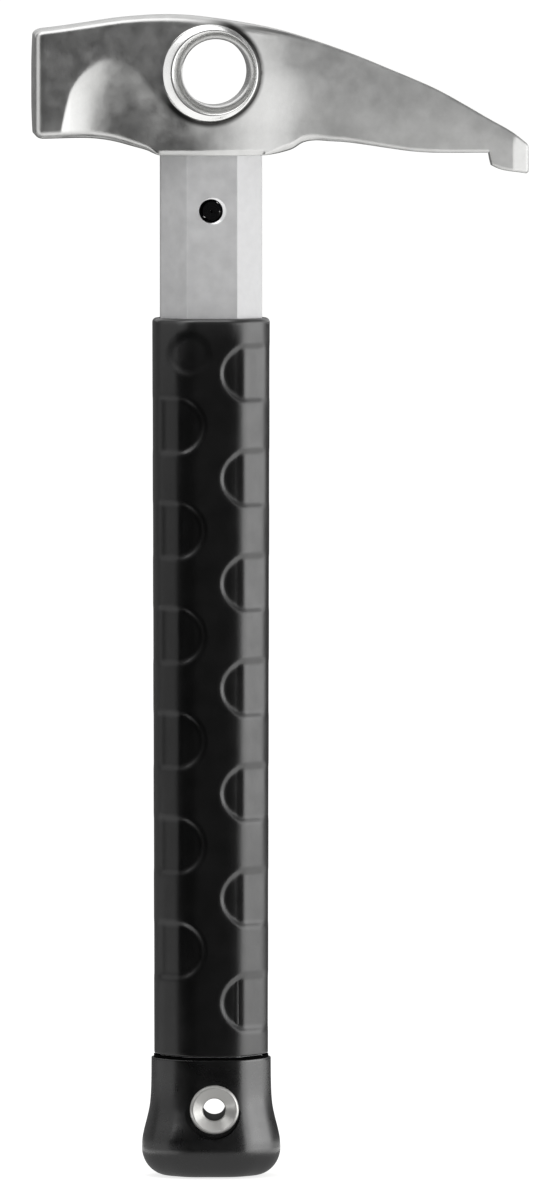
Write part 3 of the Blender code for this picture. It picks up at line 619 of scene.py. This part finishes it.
def round_outline(points, radius, count):
    """A convex outline with its corners rounded, as evenly spaced points with their outward directions."""
    pieces = []
    for i, point in enumerate(points):
        corner = Vector(point)
        before = (Vector(points[i - 1]) - corner).normalized()
        after = (Vector(points[(i + 1) % len(points)]) - corner).normalized()
        half_angle = before.angle(after) / 2
        centre = corner + (before + after).normalized() * (radius / math.sin(half_angle))
        start = corner + before * (radius / math.tan(half_angle)) - centre
        end = corner + after * (radius / math.tan(half_angle)) - centre
        pieces.append((centre, math.atan2(start.y, start.x), math.atan2(end.y, end.x)))
    path = []
    for centre, start, end in pieces:
        sweep = (end - start + math.pi) % (2 * math.pi) - math.pi
        for step in range(9):
            angle = start + sweep * step / 8
            away = Vector((math.cos(angle), math.sin(angle)))
            path.append((centre + away * radius, away))
    side_middle = ((path[0][0] + path[-1][0]) / 2, path[0][1])
    path = [side_middle] + path + [side_middle]
    lengths = [0.0]
    for (a, _), (b, _) in zip(path, path[1:]):
        lengths.append(lengths[-1] + (b - a).length)
    outline = []
    j = 0
    for i in range(count):
        target = lengths[-1] * i / count
        while lengths[j + 1] < target:
            j += 1
        t = (target - lengths[j]) / max(lengths[j + 1] - lengths[j], 1e-12)
        point = path[j][0].lerp(path[j + 1][0], t)
        away = path[j][1].lerp(path[j + 1][1], t).normalized()
        outline.append((point, away))
    return outline


# The grip, in millimetres
GRIP_WALL, GRIP_FOOT_WALL, GRIP_EDGE, GRIP_ROUND, GRIP_UNDERCUT = 1.95, 1.5, 8.0, 1.1, 0.3
BORE_EDGE = 3.0
# The grooves come in from the two sides in turn, and grow shallower round the facets and the sides
GROOVES, GROOVE_RADIUS, GROOVE_PITCH, GROOVE_START, GROOVE_END = 13, 7.6, 25.85, 13.4, 9.0
GROOVE_FRONT, GROOVE_FACET, GROOVE_SIDE, GROOVE_SLOPE = 1.0, 0.5, 0.05, 1.8
FACET_START, FACET_FULL, SIDE_START, SIDE_FULL = 6.2, 8.6, 11.5, 14.0
DIMPLE_X, DIMPLE_DROP, DIMPLE_RADIUS, DIMPLE_DEPTH, DIMPLE_SLOPE = -5.7, 8.6, 5.9, 0.35, 2.2


def groove_depth(x, y, z):
    """How deep a finger groove or the thumb dimple is at a point of the grip."""
    deepest = GROOVE_FRONT + (GROOVE_FACET - GROOVE_FRONT) * smooth_step(FACET_START, FACET_FULL, abs(x))
    deepest += (GROOVE_SIDE - GROOVE_FACET) * smooth_step(SIDE_START, SIDE_FULL, abs(x))
    drop = GRIP_HIGH.z / MM - z
    number = round((drop - GROOVE_START) / (GROOVE_PITCH / 2))
    depth = 0.0
    for i in (number - 1, number, number + 1):
        if 0 <= i < GROOVES:
            along = x if i % 2 == 0 else -x
            up = drop - GROOVE_START - i * GROOVE_PITCH / 2
            inside = GROOVE_RADIUS - (abs(up) if along > GROOVE_END else math.hypot(along - GROOVE_END, up))
            depth = max(depth, deepest * smooth_step(0.0, GROOVE_SLOPE, inside))
    if y < 0:
        inside = DIMPLE_RADIUS - math.hypot(x - DIMPLE_X, drop - DIMPLE_DROP)
        depth = max(depth, DIMPLE_DEPTH * smooth_step(0.0, DIMPLE_SLOPE, inside))
    return depth


def seam_bow(x, z):
    """The seam under the grip sags a little in the middle of the front and the back."""
    near_seam = max(1 - abs(z - GRIP_LOW.z) / (SEAM_FADE * MM), 0.0)
    return -SEAM_BOW * MM * near_seam * max(1 - (x / CAP_HIGH.x) ** 2, 0.0)


def make_grip():
    """The grip with its moulded finger grooves, thumb dimple and rounded ends."""
    around, along = 168, 340
    low, high = GRIP_LOW.z / MM, GRIP_HIGH.z / MM
    levels = [(low, TOUCH / MM, False)]
    for i in range(6):
        angle = math.pi / 2 * i / 6
        levels.append((low + GRIP_UNDERCUT * (1 - math.cos(angle)),
                       GRIP_FOOT_WALL - GRIP_UNDERCUT * (1 - math.sin(angle)), False))
    for i in range(along + 1):
        share = i / along
        wall = GRIP_FOOT_WALL + (GRIP_WALL - GRIP_FOOT_WALL) * share
        levels.append((low + GRIP_UNDERCUT + (high - low - GRIP_ROUND - GRIP_UNDERCUT) * share, wall, True))
    for i in range(1, 7):
        angle = math.pi / 2 * i / 6
        wall = GRIP_WALL - GRIP_ROUND * (1 - math.cos(angle))
        levels.append((high - GRIP_ROUND * (1 - math.sin(angle)), wall, False))
    levels += [(high, TOUCH / MM, False), ((low + high) / 2, TOUCH / MM, False), (low, TOUCH / MM, False)]
    outlines = {}

    def place(column, row):
        height, wall, grooved = levels[row]
        key = round(wall, 4)
        if key not in outlines:
            edge = GRIP_EDGE if wall > TOUCH / MM else BORE_EDGE
            outlines[key] = round_outline(octagon(wall * MM), edge * MM, around)
        point, away = outlines[key][column]
        if grooved:
            point = point - away * groove_depth(point.x / MM, point.y, height) * MM
        return point.x, point.y, height * MM + seam_bow(point.x, height * MM)

    grip = rolled_sheet("grip_moulding", around, len(levels) - 1, place)
    smooth_shade(grip, 50)
    dress(grip, "grip_sleeve", GRIP_RUBBER)


# The end cap, in millimetres
CAP_WALL, CAP_FLARE, CAP_FLARE_HEIGHT, CAP_FOOT_ROUND, CAP_CORNER, CAP_FLOOR = 2.2, 2.4, 6.9, 6.5, 9.5, 4.0
POCKET_WALL, POCKET_EDGE = 0.3, 0.4
SEAM_HEIGHT, SEAM_FOOT, SEAM_WALL, SEAM_BOW, SEAM_FADE, SHOULDER_ROUND = 0.75, 0.5, 1.6, 0.45, 3, 0.2
# How the flare fades up the cap, as shares of its height and of the flare
CAP_LINE = [(0.0, 1.0), (0.1, 0.93), (0.2, 0.74), (0.33, 0.42), (0.46, 0.17), (0.65, 0.04), (1.0, 0.0)]
EYE_HEIGHT, EYE_SEAT, EYE_BORE, EYE_WALL, EYE_FLANGE = 16.5, 12.2, 6.2, 0.8, 12.1
EYE_X, EYE_LEAN, EYE_RIM, EYE_DOME, EYE_SLOPE = 0.35, 0.95, 0.8, 1.3, 0.62
EYE_THROAT, EYE_RISE, FLANGE_EDGE, THROAT_ROUND = 2.75, 0.5, 0.25, 0.3
EYE_ROLL, ROLL_FOOT, ROLL_HEIGHT, WASHER_THICKNESS = 1.3, 0.4, 0.6, 0.8
THROAT_LENGTH, LEAN_FADE, SEAT_MARGIN, HOLE_MARGIN = 0.7, 0.7, 1.6, 0.6


def ringed_sheet(name, rings, bow=0.0):
    """A sheet through rings, each an outline and its height, which may sag as the seam does."""
    def place(column, row):
        outline, height = rings[row]
        point, _ = outline[column]
        return point.x, point.y, height + bow * seam_bow(point.x, height)

    return rolled_sheet(name, len(rings[0][0]), len(rings) - 1, place)


def make_seam():
    """The cap's recessed edge, drawn dead black as painted shade for the gap between the grip and the cap."""
    around = 128
    outer = round_outline(octagon(SEAM_WALL * MM), GRIP_EDGE * MM, around)
    inner = round_outline(octagon(TOUCH), POCKET_EDGE * MM, around)
    low, high = CAP_HIGH.z - (SEAM_HEIGHT + SEAM_FOOT) * MM, CAP_HIGH.z
    rings = [(outer, low), (outer, high), (inner, high), (inner, low), (outer, low)]
    seam = ringed_sheet("cap_seam", rings, 1.0)
    smooth_shade(seam, 40)
    dress(seam, "end_cap", SEAM_SHADE_RUBBER)


def bore_for_eyelet(piece, steps):
    """The hole that the eyelet's barrel goes through, with a little room round it."""
    diameter = EYE_BORE + 2 * EYE_WALL + HOLE_MARGIN
    cut(piece, rod_cutter("eyelet_hole", diameter * MM, 0.0, (EYE_HEIGHT + EYE_RISE) * MM, steps))


def make_cap():
    """The flared cap at the butt, with seats for the eyelet and its washer."""
    around = 128
    top = CAP_HIGH.z / MM
    levels = []
    for share in (0.02, 0.3, 0.6, 0.85):
        levels.append((0.0, CAP_WALL + CAP_FLARE - CAP_FOOT_ROUND, share))
    for i in range(17):
        angle = math.pi / 2 * i / 16
        tuck = CAP_FOOT_ROUND * (1 - math.sin(angle))
        levels.append((CAP_FLARE_HEIGHT * (1 - math.cos(angle)), CAP_WALL + CAP_FLARE - tuck, 1.0))
    shoulder = top - SEAM_HEIGHT
    for i in range(1, 57):
        share = (shoulder - SHOULDER_ROUND - CAP_FLARE_HEIGHT) / (top - CAP_FLARE_HEIGHT) * i / 56
        wall = CAP_WALL + CAP_FLARE * smooth_line(CAP_LINE, share)
        levels.append((CAP_FLARE_HEIGHT + (top - CAP_FLARE_HEIGHT) * share, wall, 1.0))
    for i in range(1, 5):
        angle = math.pi / 2 * i / 4
        wall = CAP_WALL - SHOULDER_ROUND * (1 - math.cos(angle))
        levels.append((shoulder - SHOULDER_ROUND * (1 - math.sin(angle)), wall, 1.0))
    pocket = [(shoulder, 1.0), (shoulder - 1.0, 1.0), (CAP_FLOOR, 1.0), (CAP_FLOOR, 0.02)]
    levels += [(height, POCKET_WALL, share) for height, share in pocket]
    outlines = {}

    def place(column, row):
        height, wall, share = levels[row]
        key = round(wall, 4)
        if key not in outlines:
            radius = POCKET_EDGE if wall == POCKET_WALL else CAP_CORNER + wall - CAP_WALL
            outlines[key] = round_outline(octagon(wall * MM), radius * MM, around)
        point, _ = outlines[key][column]
        return point.x * share, point.y * share, height * MM + seam_bow(point.x, height * MM)

    cap = rolled_sheet("end_cap_moulding", around, len(levels) - 1, place)
    for side in (-1, 1):
        near, far = sorted((side * EYE_SEAT * MM, side * PAST_SIDES))
        seat = (EYE_FLANGE + SEAT_MARGIN) * MM
        cut(cap, rod_cutter("eyelet_seat", seat, 0.0, EYE_HEIGHT * MM, 72, near, far))
    bore_for_eyelet(cap, 64)
    smooth_shade(cap, 35)
    dress(cap, "end_cap", CAP_RUBBER)


# The tube, the tang in it and the cross pin, in millimetres
TUBE_WALL, TUBE_EDGE, TANG_LENGTH, TANG_RISE = 2.2, 0.4, 26.0, 2.0
PIN_DROP, PIN_X, PIN_HOLE, TANG_HOLE = 13.6, -0.35, 5.9, 4.9
PIN_RADIUS, PIN_STRIP, PIN_LENGTH, LAP_GAP = 2.35, 0.6, 17.4, 0.02
SINK_X, SINK_RADIUS, SINK_DEPTH, SINK_FLARE = 0.15, 3.3, 0.5, 1.0
# How much of the light the anodised skin reflects as metal, its thickness as drawn, and how much smoother
# the bare countersink is
ANODISED_METAL, SKIN, SINK_POLISH = 0.3, 0.05, 0.22


def sink_cutter(x, face, radius, flare, depth):
    """A cone that gives the pin's hole a countersink of this radius at a face across Y."""
    slope = -math.copysign(math.pi / 2, face)
    bpy.ops.mesh.primitive_cone_add(vertices=48, radius1=(radius - flare) * MM, radius2=(radius + flare) * MM,
                                    depth=2 * depth * MM, rotation=(slope, 0.0, 0.0),
                                    location=(x * MM, face, MOUTH - PIN_DROP * MM))
    return bpy.context.object


def make_tube():
    """The drawn tube with its long edges eased and its ends bored for the pin and the eyelet."""
    around = 320
    outer = round_outline(octagon(0.0), TUBE_EDGE * MM, around)
    inner = round_outline(octagon(-TUBE_WALL * MM), TUBE_EDGE * MM, around)
    pin_z = MOUTH - PIN_DROP * MM
    # Rows close to the two holes keep slivers off the long facets
    heights = [TUBE_LOW.z, 11 * MM, 22 * MM, pin_z - 4 * MM, pin_z + 4 * MM, TUBE_HIGH.z]
    rings = [(outer, z) for z in heights] + [(inner, z) for z in reversed(heights)] + [(outer, heights[0])]
    tube = ringed_sheet("handle_tube_drawn", rings)
    cut(tube, rod_cutter("pin_hole", PIN_HOLE * MM, PIN_X * MM, pin_z, 48))
    for side in (-1, 1):
        cut(tube, sink_cutter(SINK_X, side * TUBE_HIGH.y, SINK_RADIUS, SINK_FLARE, SINK_DEPTH))
    bore_for_eyelet(tube, 48)
    smooth_shade(tube, 25)
    apply_modifier(tube, "WEIGHTED_NORMAL", keep_sharp=True, weight=100)
    dress(tube, "handle_tube", ALUMINIUM)


def make_tang():
    """The head's tang, which fills the top of the tube round the cross pin and reaches into the casting."""
    outline = round_outline(octagon(-TUBE_WALL * MM - TOUCH), TUBE_EDGE * MM, 64)
    rings = [(outline, MOUTH - TANG_LENGTH * MM), (outline, MOUTH + TANG_RISE * MM)]
    tang = ringed_sheet("head_tang", rings)
    cut(tang, rod_cutter("tang_hole", TANG_HOLE * MM, 0.0, MOUTH - PIN_DROP * MM, 48))
    for side in (-1, 1):
        face = side * (TUBE_HIGH.y - TUBE_WALL * MM - TOUCH)
        cut(tang, sink_cutter(PIN_X, face, PIN_HOLE / 2 + 0.1, 1.0, 1.0))
    smooth_shade(tang, 25)
    dress(tang, "head", STEEL)


def make_pin():
    """A coiled spring pin: a strip rolled 3.4 turns, each lap close inside the one before."""
    turns, steps = 3.4, 90
    bpy.ops.mesh.primitive_grid_add(x_subdivisions=steps, y_subdivisions=1, size=1.0,
                                    location=(0.0, 0.0, 0.0))
    pin = bpy.context.object
    pin.name = pin.data.name = "head_pin_coiled"
    pin_z = MOUTH - PIN_DROP * MM
    for index, vertex in enumerate(pin.data.vertices):
        row, column = divmod(index, steps + 1)
        turned = turns * column / steps
        angle = 2 * math.pi * turned
        lap = math.floor(turned) + smooth_step(0.8, 1.0, turned % 1)
        reach = (PIN_RADIUS - PIN_STRIP / 2 - (PIN_STRIP + LAP_GAP) * lap) * MM
        y = (row - 0.5) * PIN_LENGTH * MM
        vertex.co = (reach * math.cos(angle), y, pin_z + reach * math.sin(angle))
    apply_modifier(pin, "SOLIDIFY", thickness=PIN_STRIP * MM, offset=0.0)
    activate(pin)
    bpy.ops.object.mode_set(mode="EDIT")
    bpy.ops.mesh.select_all(action="SELECT")
    bpy.ops.mesh.normals_make_consistent(inside=False)
    bpy.ops.object.mode_set(mode="OBJECT")
    smooth_shade(pin, 40)
    dress(pin, "head_pin", OXIDE)


def make_eyelet():
    """The through eyelet: a dished bright flange in front, a barrel that leans to the right and takes the
    pin's black oxide as painted shade inside its bore, and its bright end rolled over on the washer behind."""
    bore, barrel, flange = EYE_BORE / 2, EYE_BORE / 2 + EYE_WALL, EYE_FLANGE / 2
    front = -(EYE_SEAT + TOUCH / MM)
    roll = EYE_SEAT + 2 * TOUCH / MM + WASHER_THICKNESS
    crest = flange - EYE_RIM
    throat = front - EYE_DOME + EYE_SLOPE * (crest - EYE_THROAT - THROAT_ROUND)
    near = throat + THROAT_LENGTH
    profile = [(barrel, near), (barrel, front), (flange, front)]
    for i in range(7):
        angle = math.pi / 2 * i / 6
        rise = FLANGE_EDGE + (EYE_DOME - FLANGE_EDGE) * math.sin(angle)
        profile.append((crest + EYE_RIM * math.cos(angle), front - rise))
    for i in range(1, 9):
        across = crest + (EYE_THROAT + THROAT_ROUND - crest) * i / 8
        profile.append((across, front - EYE_DOME + EYE_SLOPE * (crest - across)))
    profile += [(EYE_THROAT + 0.08, throat + 0.15), (EYE_THROAT, throat + 0.4), (EYE_THROAT, near)]
    profile.append(profile[0])
    place = (EYE_X * MM, (EYE_HEIGHT + EYE_RISE) * MM)
    eyelet = spun("lanyard_eyelet", profile, *place, 96)
    smooth_shade(eyelet, 40)
    dress(eyelet, "eyelet", NICKEL)

    inside = [(EYE_THROAT, near), (barrel, near), (barrel, roll), (bore, roll), (EYE_THROAT, near)]
    edge = barrel + EYE_ROLL
    rolled = [(bore, roll), (edge, roll)]
    for i in range(9):
        angle = math.pi * i / 8
        across = (edge + bore) / 2 + (edge - bore) / 2 * math.cos(angle)
        rolled.append((across, roll + ROLL_FOOT + ROLL_HEIGHT * math.sin(angle)))
    rolled.append(rolled[0])
    # Painted shade: the plated barrel is given the pin's black oxide, so its bore shows dark
    ends = [("eyelet_barrel", inside, OXIDE), ("eyelet_rolled_end", rolled, NICKEL)]
    for name, profile, material in ends:
        part = spun(name, profile, *place, 96)
        for vertex in part.data.vertices:
            across = math.hypot(vertex.co.x - place[0], vertex.co.z - place[1]) / MM
            behind = (vertex.co.y / MM - near) / (roll - near)
            behind *= 1 - smooth_step(bore, bore + LEAN_FADE, across)
            vertex.co.x += EYE_LEAN * behind * MM
        smooth_shade(part, 40)
        dress(part, "eyelet", material)


STEEL = satin_cast_steel()
BRIGHT_STEEL = worn_bright_steel()
ALUMINIUM = anodised_aluminium()
GRIP_RUBBER = moulded_rubber("grip_rubber", "#0a0a0b", 1.6, 0.3, 0.38, 0.5 * MM, 0.04 * MM)
CAP_RUBBER = moulded_rubber("cap_rubber", "#080809", 1.72, 0.25, 0.33, 0.4 * MM, 0.02 * MM)
NICKEL = nickel_plate()
OXIDE = black_oxide_steel()
# Painted shade for the gap between the grip and the cap
SEAM_SHADE_RUBBER = seam_shade_rubber()
NYLON = moulded_nylon()

bpy.ops.object.select_all(action="DESELECT")
make_head()
make_ring()
make_tang()
make_tube()
make_grip()
make_cap()
make_seam()
make_pin()
make_eyelet()
coat(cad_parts["tube_plug"], NYLON)
coat(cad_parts["eyelet_washer"], NICKEL)


def white_ray_share(tree):
    """One for the rays that show the white background: the camera's, and those in reflections and glass."""
    rays = add(tree, "LightPath")
    seen = add(tree, "Math", {0: rays.outputs["Is Camera Ray"], 1: rays.outputs["Is Glossy Ray"]},
               operation="MAXIMUM")
    seen = add(tree, "Math", {0: seen.outputs[0], 1: rays.outputs["Is Transmission Ray"]},
               operation="MAXIMUM")
    return seen.outputs[0]


def make_floor():
    """A pale floor, shown white to the camera and in reflections, which keeps the hammer's shadow."""
    bpy.ops.mesh.primitive_plane_add(size=30.0, location=(0.0, 0.0, FLOOR_LEVEL))
    floor = bpy.context.object
    floor.name = "studio_floor"
    material, tree, shader = start_material("pale_floor", "#dededc", 0.0, 0.9)
    shader.inputs["Specular IOR Level"].default_value = 0.0
    link(tree, white_ray_share(tree), shader, "Emission Strength")
    shader.inputs["Emission Color"].default_value = (FLOOR_GLOW, FLOOR_GLOW, FLOOR_GLOW, 1.0)
    floor.data.materials.append(material)


def make_world():
    """An even room, which shows white but gives less light than it shows."""
    world = bpy.data.worlds.new("studio")
    bpy.context.scene.world = world
    world.use_nodes = True
    tree = world.node_tree
    strength = add(tree, "MapRange", {"Value": white_ray_share(tree), "To Min": ROOM_LIGHT, "To Max": 1.0})
    background = tree.nodes["Background"]
    background.inputs["Color"].default_value = (1.0, 1.0, 1.0, 1.0)
    tree.links.new(strength.outputs["Result"], background.inputs["Strength"])


def aim(thing, target):
    """Turns a lamp or the camera toward a point."""
    thing.rotation_euler = (Vector(target) - thing.location).to_track_quat("-Z", "Y").to_euler()


def add_softbox(name, place, target, width, height, radiance):
    """A soft lamp of an even brightness: a white card in it would show as this radiance."""
    lamp = bpy.data.lights.new(name, "AREA")
    lamp.shape = "RECTANGLE"
    lamp.size, lamp.size_y = width, height
    lamp.energy = radiance * math.pi * width * height
    box = bpy.data.objects.new(name, lamp)
    bpy.context.scene.collection.objects.link(box)
    box.location = place
    aim(box, target)


def add_card(name, middle, facing, width, height, grey):
    """A studio card out of the camera's sight, which only the hammer's shiny surfaces reflect."""
    bpy.ops.mesh.primitive_plane_add(size=1.0, location=middle,
                                     rotation=Vector(facing).to_track_quat("Z", "Y").to_euler())
    card = bpy.context.object
    card.name = name
    card.scale = (width, height, 1.0)
    bpy.ops.object.transform_apply(location=True, rotation=True, scale=True)
    material = bpy.data.materials.new(name)
    material.use_nodes = True
    tree = material.node_tree
    tree.nodes.remove(tree.nodes["Principled BSDF"])
    glow = add(tree, "Emission", {"Color": (grey, grey, grey, 1.0), "Strength": 1.0})
    tree.links.new(glow.outputs[0], tree.nodes["Material Output"].inputs["Surface"])
    card.data.materials.append(material)
    card.visible_camera = False
    card.visible_diffuse = False
    card.visible_shadow = False
    card.visible_transmission = False


def add_camera():
    """The photograph's long lens, from a little to the left and a little above."""
    lens_frame = PHOTO_HEIGHT * PIXEL
    data = bpy.data.cameras.new("photo_camera")
    data.lens = CAMERA_LENS
    camera = bpy.data.objects.new("photo_camera", data)
    bpy.context.scene.collection.objects.link(camera)
    middle = Vector(((PHOTO_WIDTH / 2 - AXIS_PIXEL) * PIXEL, 0.0, (BUTT_PIXEL - PHOTO_HEIGHT / 2) * PIXEL))
    azimuth, elevation = math.radians(CAMERA_AZIMUTH), math.radians(CAMERA_ELEVATION)
    away = Vector((math.sin(azimuth) * math.cos(elevation), -math.cos(azimuth) * math.cos(elevation),
                   math.sin(elevation)))
    camera.location = middle + away * (lens_frame * CAMERA_LENS / data.sensor_width)
    aim(camera, middle)
    bpy.context.scene.camera = camera


make_floor()
make_world()
TARGET = (0.01, 0.0, 0.17)
add_softbox("right_softbox", (0.65, -0.375, 0.13), TARGET, 1.3, 0.55, 1.3)
add_softbox("top_softbox", (-0.2, -0.25, 0.85), TARGET, 0.6, 0.7, 1.0)
FRONT, RIGHT, UP = (0.0, 1.0, 0.0), (1.0, 0.0, 0.0), (0.0, 0.0, 1.0)
for name, middle, facing, width, height, grey in (
    ("front_card", (-0.08, -0.25, 0.285), FRONT, 0.25, 0.35, 0.06),
    ("front_upper_card", (0.1725, -0.25, 0.44), FRONT, 0.255, 0.3, 0.35),
    ("lamp_card", (0.56, -0.7, 0.16), (-0.5, 0.62, 0.0), 0.9, 1.0, 0.25),
    ("beak_card", (0.46, 0.0, 0.62), UP, 0.68, 0.6, 0.2),
    ("grip_card", (-0.0376, -0.025, 0.12225), FRONT, 0.1248, 0.1745, 0.01),
    ("cap_card", (-0.095, -0.055, 0.025), FRONT, 0.31, 0.05, 0.01),
    ("foot_card", (0.0, 0.0, -0.0001), UP, 0.08, 0.11, 0.3),
    ("left_card", (-0.6, -0.02, 0.5), RIGHT, 0.28, 0.6, 0.45),
    ("left_low_card", (-0.6, -0.02, 0.1), RIGHT, 0.28, 0.2, 0.3),
    ("left_floor_card", (-0.33, 0.0, -0.0001), UP, 0.54, 0.24, 0.45),
    ("left_back_card", (-0.6, 0.235, 0.4), RIGHT, 0.23, 0.8, 0.15),
    ("back_left_card", (-0.36, 0.35, 0.17), FRONT, 0.48, 0.34, 0.2),
    ("back_card", (0.0, 0.35, 0.17), FRONT, 0.24, 0.34, 0.17),
    ("back_right_card", (0.51, 0.35, 0.11), FRONT, 0.78, 0.22, 0.1),
    ("back_floor_card", (-0.1, 0.28, -0.0001), UP, 0.8, 0.3, 0.15),
):
    add_card(name, middle, facing, width, height, grey)
add_camera()
bpy.context.scene.view_settings.view_transform = "Standard"
